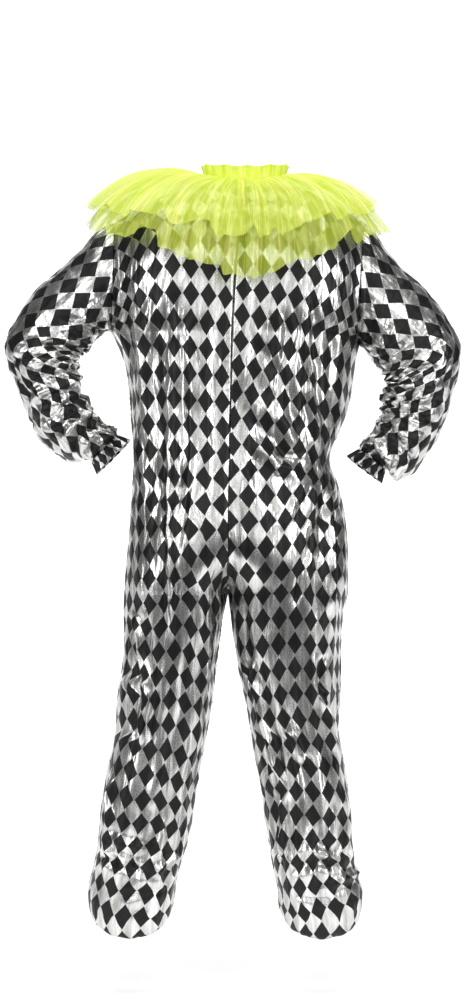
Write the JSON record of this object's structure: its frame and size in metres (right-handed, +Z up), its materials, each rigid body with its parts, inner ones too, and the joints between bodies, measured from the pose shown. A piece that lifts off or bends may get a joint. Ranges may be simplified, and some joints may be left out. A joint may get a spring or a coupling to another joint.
{
  "type": "clown jumpsuit",
  "caption": "Long-sleeved clown jumpsuit in a black and silver diamond check, with a lime organza ruff and a zip at the back, hollow and held in a hands-on-hips pose.",
  "frame": {"origin": "middle of the neck, level with the neck ends of the shoulder seams, where the wearer's shoulders hold the garment up", "axes": "+Z up to the head, -Y out of the chest, +Y out of the back, +X to the wearer's left"},
  "size_m": [0.8626, 0.4064, 1.466],
  "materials": {
    "harlequin_foil_cloth": "black diamonds on crinkled silver foil knit",
    "lime_organza": "sheer, slightly stiff",
    "black_zip": "woven tape and nylon coil",
    "black_metal": "black enamel"
  },
  "bodies": {
    "garment": {"back_left": "harlequin_foil_cloth", "back_right": "harlequin_foil_cloth", "front_left": "harlequin_foil_cloth", "front_right": "harlequin_foil_cloth", "sleeve_left": "harlequin_foil_cloth", "sleeve_right": "harlequin_foil_cloth", "cuff_left": "harlequin_foil_cloth", "cuff_right": "harlequin_foil_cloth", "ankle_left": "harlequin_foil_cloth", "ankle_right": "harlequin_foil_cloth", "neck_band": "lime_organza", "neck_heading": "lime_organza", "ruff_upper": "lime_organza", "ruff_lower": "lime_organza", "zip_tape": "black_zip", "zip_slider": "black_metal"},
    "pull": {"zip_pull": "black_metal"}
  },
  "joints": [
    {"name": "zip_pull_hinge", "type": "hinge", "parent": "garment", "child": "pull", "pos_m": [0.00341, 0.07819, -0.02072], "axis": [1, 0, 0], "range_deg": [0, 24]}
  ]
}
